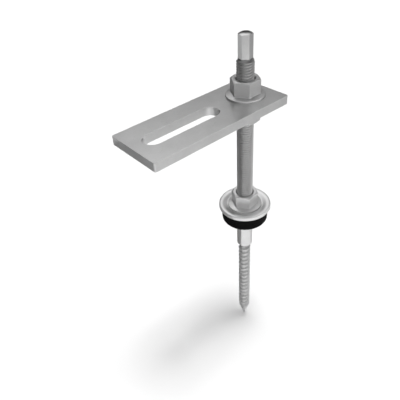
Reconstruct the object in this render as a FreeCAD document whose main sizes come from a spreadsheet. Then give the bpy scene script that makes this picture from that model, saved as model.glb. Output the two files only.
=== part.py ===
import FreeCAD, Part
import math
import os
import re
import Sketcher

# Solar hanger bolt: a roof bolt with a sealing washer, and an adapter plate clamped between two flange nuts.
# All sizes are in millimetres. +Z runs up the bolt. The origin is on its axis at the roof surface, where the
# rubber seal lies. The adapter plate lies along X, with its slot towards -X.

SIZES = {
    # M10 machine thread, plain at the diameter of its crests
    "thread_diameter": 9.85,
    "thread_end_chamfer": 1.0,
    "thread_above_nut": 10.3,
    # hexagon drive above the machine thread
    "drive_flats": 7.0,
    "drive_length": 13.2,
    "drive_end_cut": 0.7,
    "drive_turn": 14.0,
    # plain shank, down through the roof sheet from its upper face
    "shank_diameter": 10.2,
    "shank_depth": 23.5,
    "shank_taper": 1.5,
    # self-tapping thread and its point
    "core_diameter": 6.4,
    "core_length": 67.0,
    "neck_length": 1.5,
    "tapping_diameter": 8.4,
    "tapping_pitch": 4.0,
    "tapping_foot": 1.7,
    "tapping_sink": 0.5,
    "point_length": 13.0,
    "point_tip": 0.6,
    "point_turns": 2.0,
    # rubber seal
    "seal_diameter": 30.0,
    "seal_height": 10.9,
    "seal_lip": 1.4,
    "seal_bore_gap": 0.05,
    # cup washer over the seal, with its middle dished under the nut
    "washer_seal_gap": 0.2,
    "washer_sheet": 1.5,
    "washer_skirt": 2.45,
    "washer_bend": 1.2,
    "washer_dish": 1.2,
    "washer_dish_foot": 0.6,
    "washer_dish_land": 0.8,
    "washer_bore_gap": 0.3,
    # flange nuts
    "nut_flats": 15.0,
    "nut_height": 10.0,
    "nut_corner_cut": 0.3,
    "nut_bore_gap": 0.05,
    "nut_countersink": 0.3,
    "flange_diameter": 21.8,
    "flange_rim": 1.1,
    "flange_slope": 12.0,
    "seal_nut_turn": 4.0,
    # adapter plate
    "plate_height": 82.5,
    "plate_width": 35.0,
    "plate_thickness": 5.0,
    "plate_slot_side": 75.0,
    "plate_hole_side": 15.0,
    "plate_corner": 1.0,
    "plate_edge": 0.4,
    "plate_bore_gap": 0.5,
    "slot_width": 11.0,
    "slot_length": 47.0,
    "slot_margin": 7.0,
}

SHEET = "Sizes"

# An edge or a face's normal runs along Z where its Z share is above this
ALONG_Z = 0.999

# Heights and radii that several pieces share, each worked out from the sizes above
PLATE_TOP = "plate_height + plate_thickness"
THREAD_TOP = f"{PLATE_TOP} + nut_height + thread_above_nut"
CORE_TOP = "-shank_depth - shank_taper"
POINT_TOP = f"{CORE_TOP} - core_length"
WASHER_FOOT = "seal_height + washer_sheet - washer_skirt"
SEAL_NUT_SEAT = "seal_height + washer_sheet - washer_dish"
DISH_FOOT = "flange_diameter / 2 + washer_dish_foot"
DISH_TOP = "seal_diameter / 2 - washer_dish_land"
POINT_SLOPE = "(core_diameter - point_tip) / 2 / point_length"

document = FreeCAD.newDocument("solar_hanger_bolt")


def make_sheet():
    """Writes each size and its alias in a row of the sheet."""
    sheet = document.addObject("Spreadsheet::Sheet", SHEET)
    for row, (alias, value) in enumerate(SIZES.items(), start=1):
        sheet.set(f"A{row}", alias)
        sheet.set(f"B{row}", str(value))
        sheet.setAlias(f"B{row}", alias)
    document.recompute()
    return sheet


sheet = make_sheet()


def bound(expression):
    """The same expression with the sheet's name before each of its sizes."""
    def with_sheet(word):
        return f"{SHEET}.{word[0]}" if word[0] in SIZES else word[0]
    return re.sub(r"[a-z_]+", with_sheet, expression)


def number(expression):
    """The value that an expression has now."""
    value = sheet.evalExpression(expression)
    return float(getattr(value, "Value", value))


def new_body(label):
    body = document.addObject("PartDesign::Body", label)
    body.Label = label
    return body


def new_sketch(body, name, role="XZ_Plane"):
    """A sketch on one of the body's own origin planes. On the upright one, across is X and along is Z."""
    sketch = body.newObject("Sketcher::SketchObject", name)
    support = next(item for item in body.Origin.OriginFeatures if item.Role == role)
    sketch.AttachmentSupport = (support, [""])
    sketch.MapMode = "FlatFace"
    return sketch


def hold_distance(sketch, kind, geometry, spot, expression):
    """Holds one coordinate of a point of the sketch at an expression, counted from the sketch's origin."""
    index = sketch.addConstraint(Sketcher.Constraint(kind, -1, 1, geometry, spot, number(expression)))
    sketch.setExpression(f"Constraints[{index}]", bound(expression))


def hold_radius(sketch, geometry, expression):
    index = sketch.addConstraint(Sketcher.Constraint("Radius", geometry, number(expression)))
    sketch.setExpression(f"Constraints[{index}]", bound(expression))


def draw_outline(sketch, corners):
    """A closed outline of straight lines, through corners given as pairs of expressions."""
    spots = [FreeCAD.Vector(number(across), number(along), 0) for across, along in corners]
    for start, spot in enumerate(spots):
        sketch.addGeometry(Part.LineSegment(spot, spots[(start + 1) % len(spots)]), False)
    for line, (across, along) in enumerate(corners):
        sketch.addConstraint(Sketcher.Constraint("Coincident", line, 2, (line + 1) % len(corners), 1))
        hold_distance(sketch, "DistanceX", line, 1, across)
        hold_distance(sketch, "DistanceY", line, 1, along)


def turned(body, kind, name, corners):
    """Turns an upright outline about the body's Z axis. kind is Revolution, or Groove to cut it away."""
    sketch = new_sketch(body, f"{name}_outline")
    draw_outline(sketch, corners)
    feature = body.newObject(f"PartDesign::{kind}", name)
    feature.Profile = sketch
    feature.ReferenceAxis = (sketch, ["V_Axis"])
    feature.Angle = 360
    document.recompute()
    return feature


def padded(body, name, sketch, length):
    feature = body.newObject("PartDesign::Pad", name)
    feature.Profile = sketch
    feature.setExpression("Length", bound(length))
    document.recompute()
    return feature


def pocketed(body, name, sketch):
    """Cuts a sketch right through the body, and makes sure that it has taken material away."""
    before = body.Tip.Shape.Volume
    feature = body.newObject("PartDesign::Pocket", name)
    feature.Profile = sketch
    feature.Type = "ThroughAll"
    feature.Midplane = True
    document.recompute()
    if feature.Shape.Volume >= before:
        raise RuntimeError(f"{name} cuts nothing")
    return feature


def dressed(body, kind, name, base, parts, reach):
    """Adds a Chamfer or a Fillet on the named edges of a feature, or on all the edges of its named faces."""
    feature = body.newObject(f"PartDesign::{kind}", name)
    feature.Base = (base, parts)
    feature.setExpression("Size" if kind == "Chamfer" else "Radius", bound(reach))
    document.recompute()
    return feature


def hexagon(sketch, flats, turn):
    """A hexagon about the sketch's origin, with a corner turned from its X axis by a number of degrees."""
    corners = []
    for step in range(6):
        angle = f"({turn} + {60 * step}) * 1 deg"
        corners.append((f"{flats} / sqrt(3) * cos({angle})", f"{flats} / sqrt(3) * sin({angle})"))
    draw_outline(sketch, corners)


def cut_corners(body, name, flats, cut, top):
    """Cuts a 30 degree chamfer round a hexagon's upper corners, from a circle cut inside its flats."""
    inside = f"{flats} / 2 - {cut}"
    outside = f"{flats} / sqrt(3) + 1"
    turned(body, "Groove", name, [
        (inside, top),
        (outside, top),
        (outside, f"{top} - ({outside} - {inside}) * tan(30 deg)"),
    ])


def tapping_thread(body, name, root, level, rise, slope):
    """Sweeps a tooth up a right-handed helix from a root radius and level, on a core that widens by slope."""
    tooth = new_sketch(body, f"{name}_tooth")
    draw_outline(tooth, [
        (f"{root} - tapping_sink", f"{level} - tapping_foot / 2"),
        (f"{root} + (tapping_diameter - core_diameter) / 2", level),
        (f"{root} - tapping_sink", f"{level} + tapping_foot / 2"),
    ])
    helix = body.newObject("PartDesign::AdditiveHelix", name)
    helix.Profile = tooth
    helix.ReferenceAxis = (tooth, ["V_Axis"])
    helix.Mode = "pitch-height-angle"
    helix.setExpression("Pitch", bound("tapping_pitch"))
    helix.setExpression("Height", bound(rise))
    helix.setExpression("Angle", bound(f"atan({slope})"))
    document.recompute()


def make_hanger_bolt():
    """The bolt, all one piece: hexagon drive, machine thread, shank, self-tapping thread and point."""
    body = new_body("hanger_bolt")
    point_foot = f"{POINT_TOP} - point_length"
    turned(body, "Revolution", "stud_and_shank", [
        ("0", point_foot),
        ("point_tip / 2", point_foot),
        ("core_diameter / 2", POINT_TOP),
        ("core_diameter / 2", CORE_TOP),
        ("shank_diameter / 2", "-shank_depth"),
        ("shank_diameter / 2", "0"),
        ("thread_diameter / 2", "abs(shank_diameter - thread_diameter) / 2"),
        ("thread_diameter / 2", f"{THREAD_TOP} - thread_end_chamfer"),
        ("thread_diameter / 2 - thread_end_chamfer", THREAD_TOP),
        ("0", THREAD_TOP),
    ])
    drive = new_sketch(body, "drive_hexagon", "XY_Plane")
    hexagon(drive, "drive_flats", "drive_turn")
    drive.setExpression("AttachmentOffset.Base.z", bound(THREAD_TOP))
    padded(body, "drive", drive, "drive_length")
    cut_corners(body, "drive_end", "drive_flats", "drive_end_cut", f"{THREAD_TOP} + drive_length")
    point_rise = "point_turns * tapping_pitch"
    tapping_thread(body, "point_thread", f"core_diameter / 2 - {point_rise} * {POINT_SLOPE}",
                   f"{POINT_TOP} - {point_rise}", point_rise, POINT_SLOPE)
    tapping_thread(body, "tapping_thread", "core_diameter / 2", POINT_TOP, "core_length - neck_length", "0")
    return body


def make_flange_nut(label, seat, faces_up, turn="0"):
    """An M10 flange nut. Its own origin is in the middle of the face that it clamps with."""
    body = new_body(label)
    flats = new_sketch(body, f"{label}_hexagon", "XY_Plane")
    hexagon(flats, "nut_flats", turn)
    padded(body, f"{label}_flats", flats, "nut_height")
    cut_corners(body, f"{label}_corners", "nut_flats", "nut_corner_cut", "nut_height")
    rim = "flange_diameter / 2"
    root = "nut_flats / 2 - nut_corner_cut"
    rise = f"({rim} - {root}) * tan(flange_slope * 1 deg)"
    turned(body, "Revolution", f"{label}_flange", [
        ("0", "0"),
        (rim, "0"),
        (rim, "flange_rim"),
        (root, f"flange_rim + {rise}"),
        ("0", f"flange_rim + {rise}"),
    ])
    bore = "thread_diameter / 2 + nut_bore_gap"
    turned(body, "Groove", f"{label}_bore", [
        ("0", "0"),
        (f"{bore} + nut_countersink", "0"),
        (bore, "nut_countersink"),
        (bore, "nut_height - nut_countersink"),
        (f"{bore} + nut_countersink", "nut_height"),
        ("0", "nut_height"),
    ])
    half_turn = FreeCAD.Rotation(FreeCAD.Vector(1, 0, 0), 0 if faces_up else 180)
    body.Placement = FreeCAD.Placement(FreeCAD.Vector(0, 0, number(seat)), half_turn)
    body.setExpression("Placement.Base.z", bound(seat))
    return body


def bend_corners(across, along, radius):
    """Three corners that take an outline round a bend in two flats, from its upright side to its top."""
    corners = []
    for bent in (0, 45, 90):
        inset = f"{radius} * (1 - cos({bent} deg))"
        drop = f"{radius} * (1 - sin({bent} deg))"
        corners.append((f"{across} - {inset}", f"{along} - {drop}"))
    return corners


def make_sealing_washer():
    """A cup washer: a disc dished under the nut, with its edge bent down round the top of the seal."""
    body = new_body("sealing_washer")
    bore = "thread_diameter / 2 + washer_bore_gap"
    inner = "seal_diameter / 2 + washer_seal_gap"
    outer = f"{inner} + washer_sheet"
    turned(body, "Revolution", "cup", [
        (bore, "washer_skirt - washer_sheet - washer_dish"),
        (DISH_FOOT, "washer_skirt - washer_sheet - washer_dish"),
        (DISH_TOP, "washer_skirt - washer_sheet"),
        (inner, "washer_skirt - washer_sheet"),
        (inner, "0"),
        (outer, "0"),
        *bend_corners(outer, "washer_skirt", "washer_bend"),
        (DISH_TOP, "washer_skirt"),
        (DISH_FOOT, "washer_skirt - washer_dish"),
        (bore, "washer_skirt - washer_dish"),
    ])
    body.setExpression("Placement.Base.z", bound(WASHER_FOOT))
    return body


def make_epdm_seal():
    """A thick rubber ring that fills the cup washer and stands out below it, clear of the bolt."""
    body = new_body("epdm_seal")
    bore = "max(shank_diameter; thread_diameter) / 2 + seal_bore_gap"
    turned(body, "Revolution", "ring", [
        (bore, "0"),
        ("seal_diameter / 2 - seal_lip", "0"),
        ("seal_diameter / 2", "seal_lip"),
        ("seal_diameter / 2", "seal_height"),
        (DISH_TOP, "seal_height"),
        (DISH_FOOT, "seal_height - washer_dish"),
        (bore, "seal_height - washer_dish"),
    ])
    return body


def draw_rectangle(sketch, left, right, width):
    half = f"{width} / 2"
    draw_outline(sketch, [
        (f"-{left}", f"-{half}"), (right, f"-{half}"), (right, half), (f"-{left}", half),
    ])


def draw_slot(sketch, far_end, near_end, width):
    """A slot along the sketch's X axis with round ends, between the X values of its two ends."""
    radius = number(width) / 2
    far = number(far_end) + radius
    near = number(near_end) - radius
    side = FreeCAD.Vector(0, radius, 0)
    far_centre = FreeCAD.Vector(far, 0, 0)
    near_centre = FreeCAD.Vector(near, 0, 0)
    up = FreeCAD.Vector(0, 0, 1)
    far_circle = Part.Circle(far_centre, up, radius)
    near_circle = Part.Circle(near_centre, up, radius)
    sketch.addGeometry(Part.ArcOfCircle(far_circle, math.pi / 2, 3 * math.pi / 2), False)
    sketch.addGeometry(Part.LineSegment(far_centre - side, near_centre - side), False)
    sketch.addGeometry(Part.ArcOfCircle(near_circle, -math.pi / 2, math.pi / 2), False)
    sketch.addGeometry(Part.LineSegment(near_centre + side, far_centre + side), False)
    for piece in range(4):
        sketch.addConstraint(Sketcher.Constraint("Tangent", piece, 2, (piece + 1) % 4, 1))
    sketch.addConstraint(Sketcher.Constraint("Equal", 0, 2))
    hold_distance(sketch, "DistanceX", 0, 3, f"{far_end} + {width} / 2")
    hold_distance(sketch, "DistanceY", 0, 3, "0")
    hold_distance(sketch, "DistanceX", 2, 3, f"{near_end} - {width} / 2")
    hold_distance(sketch, "DistanceY", 2, 3, "0")
    hold_radius(sketch, 0, f"{width} / 2")


def draw_circle(sketch, radius):
    """A circle about the sketch's origin."""
    sketch.addGeometry(Part.Circle(FreeCAD.Vector(0, 0, 0), FreeCAD.Vector(0, 0, 1), number(radius)), False)
    sketch.addConstraint(Sketcher.Constraint("Coincident", 0, 3, -1, 1))
    hold_radius(sketch, 0, radius)


def upright_edges(feature):
    """Names the straight edges of a feature that run along Z."""
    names = []
    for index, edge in enumerate(feature.Shape.Edges, start=1):
        if isinstance(edge.Curve, Part.Line) and abs(edge.Curve.Direction.z) > ALONG_Z:
            names.append(f"Edge{index}")
    return names


def flat_faces(feature):
    """Names the faces of a feature that look straight up or down."""
    names = []
    for index, face in enumerate(feature.Shape.Faces, start=1):
        if isinstance(face.Surface, Part.Plane) and abs(face.normalAt(0, 0).z) > ALONG_Z:
            names.append(f"Face{index}")
    return names


def make_adapter_plate():
    """A flat bar with a round hole for the bolt and a long slot, all its edges rounded."""
    body = new_body("adapter_plate")
    blank = new_sketch(body, "blank_outline", "XY_Plane")
    draw_rectangle(blank, "plate_slot_side", "plate_hole_side", "plate_width")
    bar = padded(body, "blank", blank, "plate_thickness")
    dressed(body, "Fillet", "blank_corners", bar, upright_edges(bar), "plate_corner")
    slot = new_sketch(body, "slot_outline", "XY_Plane")
    slot_end = "slot_margin - plate_slot_side"
    draw_slot(slot, slot_end, f"{slot_end} + slot_length", "slot_width")
    pocketed(body, "slot", slot)
    hole = new_sketch(body, "hole_outline", "XY_Plane")
    draw_circle(hole, "thread_diameter / 2 + plate_bore_gap")
    drilled = pocketed(body, "bolt_hole", hole)
    dressed(body, "Chamfer", "edges", drilled, flat_faces(drilled), "plate_edge")
    body.setExpression("Placement.Base.z", bound("plate_height"))
    return body


def faults(pieces):
    """Says what failed: objects in a bad state, and pieces with no valid single solid."""
    bad_states = {"Invalid", "Error"}
    found = [f"{item.Name}: {item.State}" for item in document.Objects if bad_states & set(item.State)]
    for piece in pieces:
        shape = piece.Shape
        if shape.isNull() or not shape.isValid() or len(shape.Solids) != 1:
            found.append(f"{piece.Label} is not one valid solid")
    return found


pieces = [
    make_hanger_bolt(),
    make_flange_nut("upper_plate_nut", PLATE_TOP, True),
    make_adapter_plate(),
    make_flange_nut("lower_plate_nut", "plate_height", False),
    make_flange_nut("seal_nut", SEAL_NUT_SEAT, True, "seal_nut_turn"),
    make_sealing_washer(),
    make_epdm_seal(),
]
document.recompute()

problems = faults(pieces)
if problems:
    raise RuntimeError("; ".join(problems))

os.makedirs("parts", exist_ok=True)
for piece in pieces:
    piece.Shape.exportStep(f"parts/{piece.Label}.step")
    print(piece.Label, "volume", round(piece.Shape.Volume, 1), piece.Shape.BoundBox)
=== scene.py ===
"""Looks of the solar hanger bolt: threaded bolt, flange nuts, slotted plate, cup washer and rubber seal."""
import math

import bmesh
import bpy
from mathutils import Matrix, Vector


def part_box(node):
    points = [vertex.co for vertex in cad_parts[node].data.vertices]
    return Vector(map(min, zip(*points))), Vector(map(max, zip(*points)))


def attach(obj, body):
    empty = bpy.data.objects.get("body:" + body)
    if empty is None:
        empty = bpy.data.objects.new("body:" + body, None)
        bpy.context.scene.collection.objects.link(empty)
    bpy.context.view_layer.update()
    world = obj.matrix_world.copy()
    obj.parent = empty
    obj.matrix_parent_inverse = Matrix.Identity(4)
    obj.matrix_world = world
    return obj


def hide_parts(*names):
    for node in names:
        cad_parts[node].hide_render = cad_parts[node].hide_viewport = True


MM = 0.001
FULL_TURN = 2 * math.pi

# Camera, at the place that the photograph was taken from
CAMERA_PLACE = Vector((-158.05, -152.07, 191.99)) * MM
CAMERA_YAW = -38.49
CAMERA_PITCH_DOWN = 38.89
CAMERA_ROLL = -4.49
CAMERA_LENS = 38.81
CAMERA_SENSOR = 36.0
CAMERA_NEAREST = 10.0 * MM

# Machine thread M10 x 1.5
THREAD_RADIUS = 4.925 * MM
THREAD_PITCH = 1.5 * MM
THREAD_DEPTH = 0.86 * MM
THREAD_CREST = 0.20 * MM
THREAD_ROOT = 0.34 * MM
THREAD_ROUNDING = 0.05 * MM
THREAD_END_CHAMFER = 1.0 * MM

# Slope of the cone that cuts the corners back at the ends of the drive and the nuts
END_CUT_SLOPE = math.radians(30)

# Hexagon drive above the machine thread
DRIVE_LENGTH = 13.2 * MM
DRIVE_FLATS = 7.0 * MM
DRIVE_END_CUT = 0.7 * MM
DRIVE_TURN = math.radians(14)
DRIVE_ROUNDING = 0.3 * MM

# Shank, core and tapping thread below the machine thread
SHANK_RADIUS = 5.1 * MM
SHANK_FOOT = -23.5 * MM
CORE_RADIUS = 3.2 * MM
CORE_TOP = -25.0 * MM
TAPPING_TOP = -26.5 * MM
TAPPING_PITCH = 4.0 * MM
TAPPING_RISE = 1.0 * MM
TAPPING_FOOT = 1.7 * MM
TAPPING_CREST = 0.14 * MM
POINT_TOP = -92.0 * MM
POINT_TIP = 0.3 * MM
POINT_TURNS = 2.4

# Flange nuts
NUT_FLATS = 15.0 * MM
NUT_CORNER_CUT = 0.3 * MM
NUT_BORE = 4.975 * MM
NUT_COUNTERSINK = 0.8 * MM
NUT_ROUNDING = 0.45 * MM
NUT_EDGE = 0.12 * MM
FLANGE_RADIUS = 10.9 * MM
FLANGE_RIM = 1.1 * MM
FLANGE_SLOPE = math.radians(12)
FLANGE_EDGE = 0.4 * MM
FLANGE_ROOT = 0.5 * MM
SEAL_NUT_TURN = math.radians(4)

# Adapter plate
PLATE_CORNER = 1.0 * MM
PLATE_EDGE = 0.2 * MM
PLATE_BORE = 5.425 * MM
SLOT_FAR = -68.0 * MM
SLOT_NEAR = -21.0 * MM
SLOT_RADIUS = 5.5 * MM

# Cup washer and seal
WASHER_BORE = 5.225 * MM
WASHER_SHEET = 1.5 * MM
WASHER_SKIRT = 2.45 * MM
WASHER_BEND = 1.2 * MM
WASHER_EDGE = 0.25 * MM
DISH_FOOT = 11.5 * MM
DISH_TOP = 14.2 * MM
DISH_DEPTH = 1.2 * MM
DISH_FOOT_ROUNDING = 0.55 * MM
DISH_TOP_ROUNDING = 1.4 * MM
SEAL_BORE = 5.15 * MM
SEAL_LIP = 2.2 * MM
SEAL_SEAM = 0.12 * MM
SEAL_SEAM_SHARE = 0.42
SEAL_EDGE = 0.2 * MM

# How finely the pieces are cut into faces, and how they are shaded
BOLT_STEPS = 72
WASHER_STEPS = 128
HEXAGON_CORNER_SHARES = (0.0, 0.35, 0.7, 1.0)
HEXAGON_SIDE_STEPS = 8
PLATE_CORNER_STEPS = 6
SLOT_END_STEPS = 24
HOLE_STEPS = 48
PLATE_EDGE_STEPS = 4
LONGEST_ROUNDING = 0.45
MERGE_DISTANCE = 1e-7
FLAT_WEIGHT = 90

# Steel: its reflection straight on and at grazing angles, its grain, clouds and specks in millimetres, and
# how far they change its tone, roughness and surface
STEEL_IOR = 2.5
STEEL_EDGE_TINT = (0.40, 0.40, 0.40, 1.0)
PLATE_EDGE_TINT = (0.70, 0.70, 0.70, 1.0)
GRAIN_SIZE = 0.25
CLOUD_SIZE = 9.0
SPECK_SIZE = 0.9
TONE_LOW = 0.95
TONE_HIGH = 1.04
GRAIN_ROUGHNESS = 0.03
SPECK_SMOOTHER = -0.015
SPECK_ROUGHER = 0.02
STEEL_RELIEF = 0.004 * MM
GRAIN_STRENGTH = 0.3
SPECK_STRENGTH = 0.1

# Worn edges of the steel, lightened partly as a painted highlight: how far they reach, how well the true and
# the rounded direction agree on an edge and on a flat, and how far wear and painted highlight lighten the
# steel and wear smooths it
WEAR_AND_HIGHLIGHT_REACH = 0.25 * MM
WEAR_AND_HIGHLIGHT_SAMPLES = 6
WEAR_AND_HIGHLIGHT_AGREEMENT = 0.90
FLAT_AGREEMENT = 0.995
WEAR_AND_HIGHLIGHT_LIGHTER = 0.10
WORN_SMOOTHER = 0.05

# Zones along the bolt: the dark ends of its two threads, which are painted shade, and how softly a zone
# starts
TAPPING_END_SHADE_LENGTH = 3.0 * MM
DRIVE_ROOT = 0.5 * MM
ZONE_BLEND = 0.2 * MM

# Rubber: its shine, its skin and clouds in millimetres, and how far its tone and roughness change
RUBBER_SHINE = 0.05
SKIN_SIZE = 0.35
SKIN_RELIEF = 0.02 * MM
SKIN_STRENGTH = 0.5
RUBBER_CLOUD_SIZE = 4.0
RUBBER_DARK = 0.002
RUBBER_LIGHT = 0.004
RUBBER_SMOOTH = 0.62
RUBBER_ROUGH = 0.78

# White floor and backdrop, and the dark mats and card that only the metals mirror
FLOOR_SIZE = 6.0
FLOOR_SHADE = 0.86
STAGE_ROUGHNESS = 0.9
BACKDROP_RADIUS = 5.5
BACKDROP_HEIGHT = 5.0
BACKDROP_STEPS = 96
BACKDROP_GLOW = 1.2
MAT_SIZE = 3.0
MAT_FADE = 95.0 * MM
MAT_LIFT = 0.1 * MM

# Soft boxes of the studio, named as the camera sees them. Each has an azimuth, an elevation and how far it
# reaches from its middle, in degrees, and how bright its middle is.
STUDIO_SHADE = 0.20
SOFT_BOXES = {
    "front_right": (284, 8, 36, 1.6),
    "beside_camera": (244, 8, 36, 1.1),
    "right": (324, 8, 36, 0.9),
    "back_right": (4, 8, 36, 0.45),
    "front_left": (200, 24, 36, 0.65),
    "above": (225, 80, 30, 0.5),
    "behind": (60, 59, 40, 1.12),
}


def polar(radius, turn, height):
    return Vector((radius * math.cos(turn), radius * math.sin(turn), height))


def add_skin(bm, columns, seam_shift=0, closed=False):
    """Adds faces between columns of points, each running up the piece, one for each step round it.
    seam_shift is how many points the first column lags where it meets the last one, and closed joins the
    ends of each column."""
    rows = [[bm.verts.new(point) for point in column] for column in columns]
    length = len(rows[0])
    last = len(rows) - 1
    for step, column in enumerate(rows):
        neighbour = rows[0] if step == last else rows[step + 1]
        shift = seam_shift if step == last else 0
        for row in range(length if closed else length - 1 - shift):
            above = (row + 1) % length
            corners = (column[row], neighbour[row + shift], neighbour[above + shift], column[above])
            bm.faces.new(corners)


def keep_flats_flat(piece):
    """Lets a piece's large faces set the shading where they meet the narrow faces of its rounded edges."""
    weighting = piece.modifiers.new("flats", "WEIGHTED_NORMAL")
    weighting.mode = "FACE_AREA"
    weighting.weight = FLAT_WEIGHT
    weighting.keep_sharp = True
    shaded = piece.evaluated_get(bpy.context.evaluated_depsgraph_get())
    mesh = bpy.data.meshes.new_from_object(shaded)
    piece.modifiers.clear()
    piece.data = mesh


def finished_mesh(bm, name, sharp_degrees):
    """Makes an object of a bmesh, with its doubled points merged and its faces smooth up to an angle."""
    bmesh.ops.remove_doubles(bm, verts=bm.verts, dist=MERGE_DISTANCE)
    bmesh.ops.dissolve_degenerate(bm, dist=MERGE_DISTANCE, edges=bm.edges)
    bmesh.ops.recalc_face_normals(bm, faces=bm.faces)
    mesh = bpy.data.meshes.new(name)
    bm.to_mesh(mesh)
    bm.free()
    for polygon in mesh.polygons:
        polygon.use_smooth = True
    mesh.set_sharp_from_angle(angle=math.radians(sharp_degrees))
    piece = bpy.data.objects.new(name, mesh)
    bpy.context.scene.collection.objects.link(piece)
    keep_flats_flat(piece)
    return piece


def thread_columns(steps, foot, top, pitch, tooth, radius_at):
    """Columns of points up a right-handed thread between two heights. tooth is a list of pairs, a place along
    one pitch and how far up the tooth it is, and radius_at gives the radius for a height and such a rise."""
    turns = math.ceil((top - foot) / pitch) + 2
    columns = []
    for step in range(steps):
        turn = step / steps
        column = []
        for index in range(turns):
            for place, rise in tooth:
                height = foot + pitch * (index - 1 + turn) + place
                height = min(max(height, foot), top)
                ended = height in (foot, top)
                radius = radius_at(height, 0.0 if ended else rise)
                column.append(polar(radius, turn * FULL_TURN, height))
        columns.append(column)
    return columns


def machine_tooth():
    """One pitch of the machine thread: a rounded root, a flank, a crest with a slight crown, and a flank."""
    flank = (THREAD_PITCH - THREAD_CREST - THREAD_ROOT) / 2
    crest = THREAD_ROOT + flank
    return [
        (0.0, THREAD_ROUNDING / THREAD_DEPTH),
        (THREAD_ROOT / 2, 0.0),
        (THREAD_ROOT, THREAD_ROUNDING / THREAD_DEPTH),
        (crest, 1 - THREAD_ROUNDING / THREAD_DEPTH),
        (crest + THREAD_CREST / 2, 1.0),
        (crest + THREAD_CREST, 1 - THREAD_ROUNDING / THREAD_DEPTH),
    ]


def tapping_tooth():
    """One pitch of the tapping thread: a long stretch of core and a narrow tooth."""
    centre = TAPPING_PITCH / 2
    return [
        (0.0, 0.0),
        (centre - TAPPING_FOOT / 2, 0.0),
        (centre - TAPPING_CREST / 2, 1.0),
        (centre + TAPPING_CREST / 2, 1.0),
        (centre + TAPPING_FOOT / 2, 0.0),
    ]


def hexagon_radius(turn, flats, rounding):
    """How far a hexagon's side is from its middle, with two corners on the X axis, each rounded."""
    sixth = FULL_TURN / 6
    off_corner = (turn + sixth / 2) % sixth - sixth / 2
    centre = (flats / 2 - rounding) / math.cos(sixth / 2)
    across = centre * math.sin(off_corner)
    if abs(across) < rounding:
        curve = centre * math.cos(off_corner) + math.sqrt(rounding ** 2 - across ** 2)
    else:
        curve = math.inf
    return min(curve, flats / 2 / math.cos(turn % sixth - sixth / 2))


def hexagon_turns(flats, rounding):
    """Angles round a hexagon, close together at its corners and wider apart along its sides."""
    sixth = FULL_TURN / 6
    bend = math.atan(rounding * math.tan(sixth / 2) / (flats / 2))
    near = [bend * share for share in HEXAGON_CORNER_SHARES]
    side = sixth - 2 * near[-1]
    along = [near[-1] + side * step / HEXAGON_SIDE_STEPS for step in range(1, HEXAGON_SIDE_STEPS)]
    turns = near + along + [sixth - angle for angle in reversed(near[1:])]
    return [corner * sixth + angle for corner in range(6) for angle in turns]


def rounded_profile(corners, steps=2):
    """A closed profile with rounded corners. Each corner is a radius, a height, and how far its curve reaches
    along the sides that meet there."""
    points = []
    for index, (radius, height, reach) in enumerate(corners):
        here = Vector((radius, height))
        before = Vector(corners[index - 1][:2]) - here
        after = Vector(corners[(index + 1) % len(corners)][:2]) - here
        reach = min(reach, before.length * LONGEST_ROUNDING, after.length * LONGEST_ROUNDING)
        start = here + before.normalized() * reach
        end = here + after.normalized() * reach
        for step in range(steps + 1):
            share = step / steps
            points.append(tuple(start.lerp(here, share).lerp(here.lerp(end, share), share)))
    return points


def ring(steps, radius, height):
    return [polar(radius, step * FULL_TURN / steps, height) for step in range(steps)]


def plain_columns(steps, profile):
    """Columns that follow one profile of radius and height pairs all the way round."""
    rings = [ring(steps, radius, height) for radius, height in profile]
    return [list(column) for column in zip(*rings)]


def drive_columns(foot, top):
    """The hexagon drive, with the corners of its upper end cut back by a cone."""
    inside = DRIVE_FLATS / 2 - DRIVE_END_CUT
    columns = []
    for turn in hexagon_turns(DRIVE_FLATS, DRIVE_ROUNDING):
        side = hexagon_radius(turn, DRIVE_FLATS, DRIVE_ROUNDING)
        cut = top - (side - inside) * math.tan(END_CUT_SLOPE)
        profile = [(0.0, foot), (side, foot), (side, cut), (inside, top), (0.0, top)]
        columns.append([polar(radius, turn + DRIVE_TURN, height) for radius, height in profile])
    return columns


def make_bolt():
    low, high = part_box("hanger_bolt")
    thread_top = high.z - DRIVE_LENGTH
    point_length = POINT_TOP - low.z

    def core_radius(height):
        slope = (CORE_RADIUS - POINT_TIP) / point_length
        return min(CORE_RADIUS, POINT_TIP + (height - low.z) * slope)

    def tapping_radius(height, rise):
        start = min(1.0, (height - low.z) / (POINT_TURNS * TAPPING_PITCH))
        return core_radius(height) + rise * TAPPING_RISE * start

    def machine_radius(height, rise):
        if height <= 0.0:
            return THREAD_RADIUS
        cone = THREAD_RADIUS - THREAD_END_CHAMFER + (thread_top - height)
        if height >= thread_top:
            return cone
        return min(THREAD_RADIUS - THREAD_DEPTH * (1 - rise), cone)

    bm = bmesh.new()
    add_skin(bm, plain_columns(BOLT_STEPS, [(0.0, low.z), (POINT_TIP, low.z)]))
    tooth = tapping_tooth()
    thread = thread_columns(BOLT_STEPS, low.z, TAPPING_TOP, TAPPING_PITCH, tooth, tapping_radius)
    add_skin(bm, thread, seam_shift=len(tooth))
    add_skin(bm, plain_columns(BOLT_STEPS, [
        (CORE_RADIUS, TAPPING_TOP),
        (CORE_RADIUS, CORE_TOP),
        (SHANK_RADIUS, SHANK_FOOT),
        (SHANK_RADIUS, 0.0),
        (THREAD_RADIUS, 0.0),
    ]))
    tooth = machine_tooth()
    thread = thread_columns(BOLT_STEPS, 0.0, thread_top, THREAD_PITCH, tooth, machine_radius)
    add_skin(bm, thread, seam_shift=len(tooth))
    end_face = [(THREAD_RADIUS - THREAD_END_CHAMFER, thread_top), (0.0, thread_top)]
    add_skin(bm, plain_columns(BOLT_STEPS, end_face))
    add_skin(bm, drive_columns(thread_top, high.z))
    return finished_mesh(bm, "threaded_bolt", sharp_degrees=32)


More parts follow.
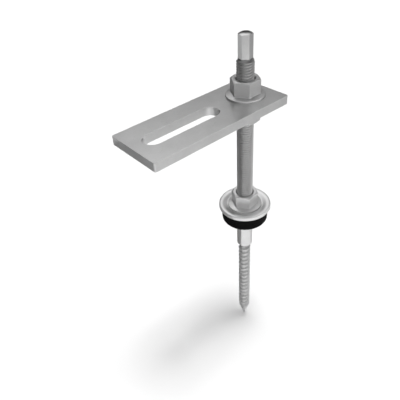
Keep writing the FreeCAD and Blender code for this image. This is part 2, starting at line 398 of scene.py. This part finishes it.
def make_nut(name, node, faces_up, turned_by=0.0):
    """A flange nut: a hexagon whose corners are cut by a cone above, on a conical flange."""
    low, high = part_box(node)
    seat = low.z if faces_up else high.z
    up = 1 if faces_up else -1
    height = high.z - low.z
    inside = NUT_FLATS / 2 - NUT_CORNER_CUT
    columns = []
    for turn in hexagon_turns(NUT_FLATS, NUT_ROUNDING):
        side = hexagon_radius(turn, NUT_FLATS, NUT_ROUNDING)
        slope_top = FLANGE_RIM + (FLANGE_RADIUS - side) * math.tan(FLANGE_SLOPE)
        cut = height - (side - inside) * math.tan(END_CUT_SLOPE)
        profile = rounded_profile([
            (NUT_BORE + NUT_COUNTERSINK, 0.0, NUT_EDGE),
            (FLANGE_RADIUS, 0.0, NUT_EDGE),
            (FLANGE_RADIUS, FLANGE_RIM, FLANGE_EDGE),
            (side, slope_top, FLANGE_ROOT),
            (side, cut, NUT_EDGE),
            (inside, height, NUT_EDGE),
            (NUT_BORE + NUT_COUNTERSINK, height, NUT_EDGE),
            (NUT_BORE, height - NUT_COUNTERSINK, NUT_EDGE),
            (NUT_BORE, NUT_COUNTERSINK, NUT_EDGE),
        ])
        columns.append([polar(radius, turn + turned_by, seat + up * level) for radius, level in profile])
    bm = bmesh.new()
    add_skin(bm, columns, closed=True)
    return finished_mesh(bm, name, sharp_degrees=40)


def round_edge(radius):
    """Quarter circle of pairs, an inset and a height, from the wall to the flat face."""
    pairs = []
    for step in range(PLATE_EDGE_STEPS + 1):
        bend = step / PLATE_EDGE_STEPS * math.pi / 2
        pairs.append((radius * (1 - math.cos(bend)), radius * math.sin(bend)))
    return pairs


def slab_rows(thickness, edge):
    """Rows up the wall of a slab with rounded edges: how far each is set in from the wall, and its height."""
    lower = [(inset, edge - rise) for inset, rise in reversed(round_edge(edge))]
    upper = [(inset, thickness - edge + rise) for inset, rise in round_edge(edge)]
    return lower + upper


def arc(centre, radius, start, end, steps):
    points = []
    for step in range(steps + 1):
        angle = start + (end - start) * step / steps
        points.append((centre[0] + radius * math.cos(angle), centre[1] + radius * math.sin(angle)))
    return points


def bar_outline(low, high, inset):
    """Rounded rectangle of the plate, set in from its walls."""
    radius = PLATE_CORNER - inset
    left = low.x + PLATE_CORNER
    right = high.x - PLATE_CORNER
    front = low.y + PLATE_CORNER
    back = high.y - PLATE_CORNER
    quarter = math.pi / 2
    points = []
    for index, centre in enumerate([(right, back), (left, back), (left, front), (right, front)]):
        points += arc(centre, radius, index * quarter, (index + 1) * quarter, PLATE_CORNER_STEPS)
    return points


def slot_outline(inset):
    """The slot's outline, widened by an inset."""
    radius = SLOT_RADIUS + inset
    far = (SLOT_FAR + SLOT_RADIUS, 0.0)
    near = (SLOT_NEAR - SLOT_RADIUS, 0.0)
    quarter = math.pi / 2
    near_end = arc(near, radius, -quarter, quarter, SLOT_END_STEPS)
    far_end = arc(far, radius, quarter, 3 * quarter, SLOT_END_STEPS)
    return near_end + far_end


def hole_outline(inset):
    last = HOLE_STEPS - 1
    return arc((0.0, 0.0), PLATE_BORE + inset, 0.0, FULL_TURN * last / HOLE_STEPS, last)


def make_plate():
    """The adapter plate: a bar with rounded edges, and a slot and a round hole through it."""
    low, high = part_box("adapter_plate")
    rows = slab_rows(high.z - low.z, PLATE_EDGE)
    bm = bmesh.new()
    for outline in (lambda inset: bar_outline(low, high, inset), slot_outline, hole_outline):
        flat = [[(x, y, low.z + level) for x, y in outline(inset)] for inset, level in rows]
        columns = [list(column) for column in zip(*flat)]
        add_skin(bm, columns)
    for level in (low.z, high.z):
        open_edges = [edge for edge in bm.edges if edge.is_boundary]
        rim = [edge for edge in open_edges if all(abs(v.co.z - level) < MERGE_DISTANCE for v in edge.verts)]
        bmesh.ops.triangle_fill(bm, edges=rim, use_beauty=True, use_dissolve=False)
    return finished_mesh(bm, "slotted_plate", sharp_degrees=30)


def make_washer():
    """The cup washer: a sheet dished under the nut, with its edge bent down round the seal."""
    low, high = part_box("sealing_washer")
    outer = high.x
    inner = outer - WASHER_SHEET
    ceiling = high.z - WASHER_SHEET
    skirt_foot = high.z - WASHER_SKIRT
    profile = rounded_profile([
        (WASHER_BORE, low.z, WASHER_EDGE),
        (DISH_FOOT, low.z, DISH_FOOT_ROUNDING),
        (DISH_TOP, ceiling, DISH_TOP_ROUNDING),
        (inner, ceiling, WASHER_EDGE),
        (inner, skirt_foot, WASHER_EDGE),
        (outer, skirt_foot, WASHER_EDGE),
        (outer, high.z, WASHER_BEND),
        (DISH_TOP, high.z, DISH_TOP_ROUNDING),
        (DISH_FOOT, high.z - DISH_DEPTH, DISH_FOOT_ROUNDING),
        (WASHER_BORE, high.z - DISH_DEPTH, WASHER_EDGE),
    ], steps=5)
    bm = bmesh.new()
    add_skin(bm, plain_columns(WASHER_STEPS, profile), closed=True)
    return finished_mesh(bm, "cup_washer", sharp_degrees=35)


def make_seal():
    """The rubber ring, with a rounded lip below, a faint moulding seam and the washer's dish on top."""
    low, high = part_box("epdm_seal")
    outer = high.x
    wall = outer - SEAL_SEAM
    seam = low.z + (high.z - low.z) * SEAL_SEAM_SHARE
    profile = rounded_profile([
        (SEAL_BORE, low.z, SEAL_EDGE),
        (wall, low.z, SEAL_LIP),
        (wall, seam - SEAL_SEAM, SEAL_SEAM),
        (outer, seam, SEAL_SEAM),
        (wall, seam + SEAL_SEAM, SEAL_SEAM),
        (wall, high.z, SEAL_EDGE),
        (DISH_TOP, high.z, SEAL_EDGE),
        (DISH_FOOT, high.z - DISH_DEPTH, SEAL_EDGE),
        (SEAL_BORE, high.z - DISH_DEPTH, SEAL_EDGE),
    ], steps=4)
    bm = bmesh.new()
    add_skin(bm, plain_columns(WASHER_STEPS, profile), closed=True)
    return finished_mesh(bm, "rubber_seal", sharp_degrees=35)


class Tree:
    """A short way to add and join the nodes of a material."""

    def __init__(self, owner, shader="Principled BSDF"):
        owner.use_nodes = True
        self.nodes = owner.node_tree.nodes
        self.links = owner.node_tree.links
        self.shader = self.nodes[shader]

    def add(self, kind, **settings):
        node = self.nodes.new(kind)
        for name, value in settings.items():
            setattr(node, name, value)
        return node

    def join(self, source, target):
        self.links.new(source, target)

    def place(self, stretch=(1.0, 1.0, 1.0)):
        """The piece's own coordinates in millimetres, scaled along each axis."""
        spot = self.add("ShaderNodeTexCoord")
        mapping = self.add("ShaderNodeMapping")
        mapping.inputs["Scale"].default_value = [value / MM for value in stretch]
        self.join(spot.outputs["Object"], mapping.inputs["Vector"])
        return mapping.outputs["Vector"]

    def noise(self, vector, size, detail=2.0, roughness=0.5):
        """Noise with features of a size in millimetres."""
        node = self.add("ShaderNodeTexNoise")
        node.inputs["Scale"].default_value = 1.0 / size
        node.inputs["Detail"].default_value = detail
        node.inputs["Roughness"].default_value = roughness
        self.join(vector, node.inputs["Vector"])
        return node.outputs["Fac"]

    def spread(self, value, low, high, start=0.3, end=0.7, smooth=False):
        """Maps a value's range from start to end onto low to high, straight or with soft ends."""
        node = self.add("ShaderNodeMapRange", interpolation_type="SMOOTHSTEP" if smooth else "LINEAR")
        node.inputs["From Min"].default_value = start
        node.inputs["From Max"].default_value = end
        node.inputs["To Min"].default_value = low
        node.inputs["To Max"].default_value = high
        self.join(value, node.inputs["Value"])
        return node.outputs["Result"]

    def maths(self, operation, first, second):
        node = self.add("ShaderNodeMath", operation=operation)
        for socket, value in zip(node.inputs, (first, second)):
            if isinstance(value, (int, float)):
                socket.default_value = value
            else:
                self.join(value, socket)
        return node.outputs["Value"]

    def grey(self, value, tint=(1.0, 1.0, 1.0)):
        node = self.add("ShaderNodeCombineColor")
        for name, share in zip(("Red", "Green", "Blue"), tint):
            self.join(self.maths("MULTIPLY", value, share), node.inputs[name])
        return node.outputs["Color"]

    def bump(self, height, distance, strength, below=None):
        node = self.add("ShaderNodeBump")
        node.inputs["Distance"].default_value = distance
        node.inputs["Strength"].default_value = strength
        self.join(height, node.inputs["Height"])
        if below is not None:
            self.join(below, node.inputs["Normal"])
        return node.outputs["Normal"]


def wear_and_highlight_edges(tree, radius):
    """How much a spot lies on an edge, from 0 on a flat to 1 on the edge itself."""
    bevel = tree.add("ShaderNodeBevel", samples=WEAR_AND_HIGHLIGHT_SAMPLES)
    bevel.inputs["Radius"].default_value = radius
    facing = tree.add("ShaderNodeVectorMath", operation="DOT_PRODUCT")
    tree.join(bevel.outputs["Normal"], facing.inputs[0])
    tree.join(tree.add("ShaderNodeNewGeometry").outputs["Normal"], facing.inputs[1])
    return tree.spread(facing.outputs["Value"], 1.0, 0.0, WEAR_AND_HIGHLIGHT_AGREEMENT, FLAT_AGREEMENT)


def zoned(tree, spot, zones, level, gloss):
    """Changes a steel's tone and roughness along its piece. Each zone is a height, and how much lighter and
    rougher the steel gets there and above."""
    split = tree.add("ShaderNodeSeparateXYZ")
    tree.join(spot, split.inputs["Vector"])
    for height, lighter, rougher in zones:
        start = (height - ZONE_BLEND) / MM
        end = (height + ZONE_BLEND) / MM
        above = tree.spread(split.outputs["Z"], 0.0, 1.0, start, end)
        level = tree.maths("ADD", level, tree.maths("MULTIPLY", above, lighter))
        gloss = tree.maths("ADD", gloss, tree.maths("MULTIPLY", above, rougher))
    return level, gloss


def steel(name, shade, rough, grain=(1.0, 1.0, 1.0), zones=(), edge_tint=STEEL_EDGE_TINT):
    """Stainless steel with a directional grain, cloudy patches, fine specks and smoother worn edges, whose
    lighter tone is partly a painted highlight.
    """
    material = bpy.data.materials.new(name)
    tree = Tree(material)
    tree.shader.inputs["Metallic"].default_value = 1.0
    tree.shader.inputs["IOR"].default_value = STEEL_IOR
    tree.shader.inputs["Specular Tint"].default_value = edge_tint
    plain = tree.place()
    lines = tree.noise(tree.place(grain), GRAIN_SIZE, detail=3.0, roughness=0.6)
    clouds = tree.noise(plain, CLOUD_SIZE, detail=3.0)
    specks = tree.noise(plain, SPECK_SIZE, detail=4.0)
    edge_wear_and_highlight = wear_and_highlight_edges(tree, WEAR_AND_HIGHLIGHT_REACH)
    cloud_tone = tree.spread(clouds, TONE_LOW, TONE_HIGH)
    tone = tree.maths("MULTIPLY", cloud_tone, tree.spread(lines, TONE_LOW, TONE_HIGH))
    grain_gloss = tree.spread(lines, rough - GRAIN_ROUGHNESS, rough + GRAIN_ROUGHNESS)
    gloss = tree.maths("ADD", grain_gloss, tree.spread(specks, SPECK_SMOOTHER, SPECK_ROUGHER))
    level, gloss = zoned(tree, plain, zones, shade, gloss)
    # Edges are lightened: partly wear, partly a painted highlight.
    level = tree.maths("ADD", tree.maths("MULTIPLY", tone, level), tree.maths("MULTIPLY", edge_wear_and_highlight, WEAR_AND_HIGHLIGHT_LIGHTER))
    gloss = tree.maths("SUBTRACT", gloss, tree.maths("MULTIPLY", edge_wear_and_highlight, WORN_SMOOTHER))
    tree.join(tree.grey(level), tree.shader.inputs["Base Color"])
    tree.join(gloss, tree.shader.inputs["Roughness"])
    fine = tree.bump(lines, STEEL_RELIEF, GRAIN_STRENGTH)
    tree.join(tree.bump(specks, STEEL_RELIEF, SPECK_STRENGTH, fine), tree.shader.inputs["Normal"])
    return material


def bolt_steel():
    """The bolt's steel: lighter and smoother on the turned shank and drive, darker along both threads, darker
    still above the upper nut, and darkest at the threads' upper ends. The darker tones are painted shade of
    the thread grooves and ends; the lighter shank and drive are partly their turned polish, partly painted
    highlight."""
    thread_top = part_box("hanger_bolt")[1].z - DRIVE_LENGTH
    nut_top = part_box("upper_plate_nut")[1].z
    # Darker zones are painted shade; the shank and drive are lighter partly as painted highlight.
    return steel("bolt_steel", shade=0.61, rough=0.44, grain=(0.2, 0.2, 2.0), zones=[
        (CORE_TOP - TAPPING_END_SHADE_LENGTH, -0.15, 0.0),
        (CORE_TOP, 0.25, -0.27),
        (0.0, -0.19, 0.16),
        (nut_top, -0.07, 0.0),
        (thread_top - THREAD_END_CHAMFER, -0.17, 0.0),
        (thread_top + DRIVE_ROOT, 0.28, -0.17),
    ])


def rubber(name):
    """Black moulded EPDM, matt with a fine orange-peel skin."""
    material = bpy.data.materials.new(name)
    tree = Tree(material)
    plain = tree.place()
    skin = tree.noise(plain, SKIN_SIZE, detail=3.0)
    clouds = tree.noise(plain, RUBBER_CLOUD_SIZE, detail=2.0)
    tree.join(tree.grey(tree.spread(clouds, RUBBER_DARK, RUBBER_LIGHT)), tree.shader.inputs["Base Color"])
    tree.join(tree.spread(skin, RUBBER_SMOOTH, RUBBER_ROUGH), tree.shader.inputs["Roughness"])
    tree.shader.inputs["Specular IOR Level"].default_value = RUBBER_SHINE
    tree.join(tree.bump(skin, SKIN_RELIEF, SKIN_STRENGTH), tree.shader.inputs["Normal"])
    return material


def dress(piece, material, node):
    piece.data.materials.append(material)
    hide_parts(node)
    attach(piece, "root")


def make_camera():
    camera = bpy.data.objects.new("camera", bpy.data.cameras.new("camera"))
    camera.data.lens = CAMERA_LENS
    camera.data.sensor_width = CAMERA_SENSOR
    camera.data.clip_start = CAMERA_NEAREST
    yaw = Matrix.Rotation(math.radians(CAMERA_YAW), 4, "Z")
    pitch = Matrix.Rotation(math.radians(90 - CAMERA_PITCH_DOWN), 4, "X")
    roll = Matrix.Rotation(math.radians(CAMERA_ROLL), 4, "Z")
    camera.matrix_world = Matrix.Translation(CAMERA_PLACE) @ yaw @ pitch @ roll
    bpy.context.scene.collection.objects.link(camera)
    bpy.context.scene.camera = camera


def matt(name, shade=None):
    """The nodes of a matt stage material, of one shade or with its colour still to be joined."""
    material = bpy.data.materials.new(name)
    tree = Tree(material)
    if shade is not None:
        tree.shader.inputs["Base Color"].default_value = (shade, shade, shade, 1.0)
    tree.shader.inputs["Roughness"].default_value = STAGE_ROUGHNESS
    tree.shader.inputs["Specular IOR Level"].default_value = 0.0
    return material, tree


def placed_object(name, bm, material, place=Matrix()):
    """Makes an object of a bmesh, and sets it in its place."""
    mesh = bpy.data.meshes.new(name)
    bm.to_mesh(mesh)
    bm.free()
    mesh.materials.append(material)
    thing = bpy.data.objects.new(name, mesh)
    thing.matrix_world = place
    bpy.context.scene.collection.objects.link(thing)
    return thing


def show_to_metals_only(thing):
    thing.visible_camera = False
    thing.visible_diffuse = False
    thing.visible_shadow = False


def make_floor(height):
    bm = bmesh.new()
    bmesh.ops.create_grid(bm, x_segments=1, y_segments=1, size=FLOOR_SIZE)
    bmesh.ops.translate(bm, verts=bm.verts, vec=(0.0, 0.0, height))
    material, _ = matt("white_floor", FLOOR_SHADE)
    floor = placed_object("floor", bm, material)


def make_backdrop(height):
    """A plain white wall round the floor, for the views that look over it. It lights nothing and isn't
    mirrored."""
    bm = bmesh.new()
    profile = [(BACKDROP_RADIUS, height), (BACKDROP_RADIUS, height + BACKDROP_HEIGHT)]
    add_skin(bm, plain_columns(BACKDROP_STEPS, profile))
    material, tree = matt("white_backdrop", 0.0)
    tree.shader.inputs["Emission Color"].default_value = (1.0, 1.0, 1.0, 1.0)
    tree.shader.inputs["Emission Strength"].default_value = BACKDROP_GLOW
    backdrop = placed_object("backdrop", bm, material)
    backdrop.visible_diffuse = False
    backdrop.visible_glossy = False
    backdrop.visible_shadow = False


def heading(azimuth, elevation):
    """The direction of an azimuth from +X towards +Y and an elevation, both in degrees."""
    across = math.radians(azimuth)
    up = math.radians(elevation)
    return Vector((math.cos(across) * math.cos(up), math.sin(across) * math.cos(up), math.sin(up)))


def make_sun(name, strength, azimuth, elevation, width):
    """A soft lamp for the shadows. Metals don't mirror it: they mirror the studio, the mats and the card."""
    lamp = bpy.data.lights.new(name, "SUN")
    lamp.energy = strength
    lamp.angle = math.radians(width)
    sun = bpy.data.objects.new(name, lamp)
    sun.rotation_euler = heading(azimuth, elevation).to_track_quat("Z", "Y").to_euler()
    sun.visible_glossy = False
    bpy.context.scene.collection.objects.link(sun)


def make_world():
    """A dim even studio with soft boxes in it."""
    world = bpy.data.worlds.new("studio")
    tree = Tree(world, "Background")
    towards = tree.add("ShaderNodeTexCoord").outputs["Generated"]
    total = STUDIO_SHADE
    for azimuth, elevation, reach, level in SOFT_BOXES.values():
        facing = tree.add("ShaderNodeVectorMath", operation="DOT_PRODUCT")
        tree.join(towards, facing.inputs[0])
        facing.inputs[1].default_value = heading(azimuth, elevation)
        rim = math.cos(math.radians(reach))
        glow = tree.spread(facing.outputs["Value"], 0.0, level, rim, 1.0, smooth=True)
        total = tree.maths("ADD", total, glow)
    tree.join(tree.grey(total), tree.shader.inputs["Color"])
    bpy.context.scene.world = world


def make_mat(name, height, azimuth, distance, shade):
    """A dark mat on the floor, out of the camera's view, that only the metals' reflections show. Its near
    edge is a distance from the bolt's axis, and it darkens from there."""
    bm = bmesh.new()
    bmesh.ops.create_grid(bm, x_segments=1, y_segments=1, size=MAT_SIZE)
    bmesh.ops.translate(bm, verts=bm.verts, vec=(MAT_SIZE, 0.0, 0.0))
    material, tree = matt(name)
    split = tree.add("ShaderNodeSeparateXYZ")
    tree.join(tree.place(), split.inputs["Vector"])
    tone = tree.spread(split.outputs["X"], FLOOR_SHADE, shade, 0.0, MAT_FADE / MM, smooth=True)
    tree.join(tree.grey(tone), tree.shader.inputs["Base Color"])
    turn = Matrix.Rotation(math.radians(azimuth), 4, "Z")
    place = turn @ Matrix.Translation((distance, 0.0, height + MAT_LIFT))
    mat = placed_object(name, bm, material, place)
    show_to_metals_only(mat)


def make_card(name, height, azimuth, distance, width, top, shade):
    """A grey card that stands on the floor across an azimuth, and that only the metals' reflections show."""
    side = width / 2
    corners = [
        (distance, -side, height),
        (distance, side, height),
        (distance, side, top),
        (distance, -side, top),
    ]
    bm = bmesh.new()
    bm.faces.new([bm.verts.new(corner) for corner in corners])
    material, _ = matt(name, shade)
    turn = Matrix.Rotation(math.radians(azimuth), 4, "Z")
    card = placed_object(name, bm, material, turn)
    show_to_metals_only(card)


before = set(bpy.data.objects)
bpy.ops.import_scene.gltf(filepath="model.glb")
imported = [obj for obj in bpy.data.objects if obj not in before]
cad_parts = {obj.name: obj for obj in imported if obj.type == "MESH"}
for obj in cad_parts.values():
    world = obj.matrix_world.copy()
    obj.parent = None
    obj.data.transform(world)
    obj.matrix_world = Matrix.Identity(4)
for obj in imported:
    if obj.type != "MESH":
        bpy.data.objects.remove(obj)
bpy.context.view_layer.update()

make_camera()

nut_steel = steel("nut_steel", shade=0.59, rough=0.42, grain=(1.0, 1.0, 0.3))
# A lighter, slightly smoother copy of the nut steel for the nut on the washer; its extra lightness is painted
# light.
nut_steel_painted_lighter = steel("nut_steel_painted_lighter", shade=0.70, rough=0.38, grain=(1.0, 1.0, 0.3))
plate_steel = steel("plate_steel", shade=0.61, rough=0.31, grain=(0.12, 1.0, 1.0), edge_tint=PLATE_EDGE_TINT)
washer_steel = steel("washer_steel", shade=0.76, rough=0.36)

dress(make_bolt(), bolt_steel(), "hanger_bolt")
dress(make_nut("upper_nut", "upper_plate_nut", faces_up=True), nut_steel, "upper_plate_nut")
dress(make_nut("lower_nut", "lower_plate_nut", faces_up=False), nut_steel, "lower_plate_nut")
seal_nut = make_nut("washer_nut", "seal_nut", faces_up=True, turned_by=SEAL_NUT_TURN)
dress(seal_nut, nut_steel_painted_lighter, "seal_nut")
dress(make_plate(), plate_steel, "adapter_plate")
dress(make_washer(), washer_steel, "sealing_washer")
dress(make_seal(), rubber("black_rubber"), "epdm_seal")

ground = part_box("hanger_bolt")[0].z
make_floor(ground)
make_backdrop(ground)
make_mat("left_mat", ground, azimuth=159, distance=207 * MM, shade=0.56)
make_mat("right_mat", ground, azimuth=-61, distance=215 * MM, shade=0.50)
make_card("left_card", ground, azimuth=120, distance=60 * MM, width=172 * MM, top=80 * MM, shade=0.34)
make_sun("high_key", strength=1.42, azimuth=-44, elevation=86, width=14)
make_sun("side_key", strength=0.42, azimuth=-25, elevation=72, width=19)
make_world()

bpy.context.scene.view_settings.view_transform = "Standard"
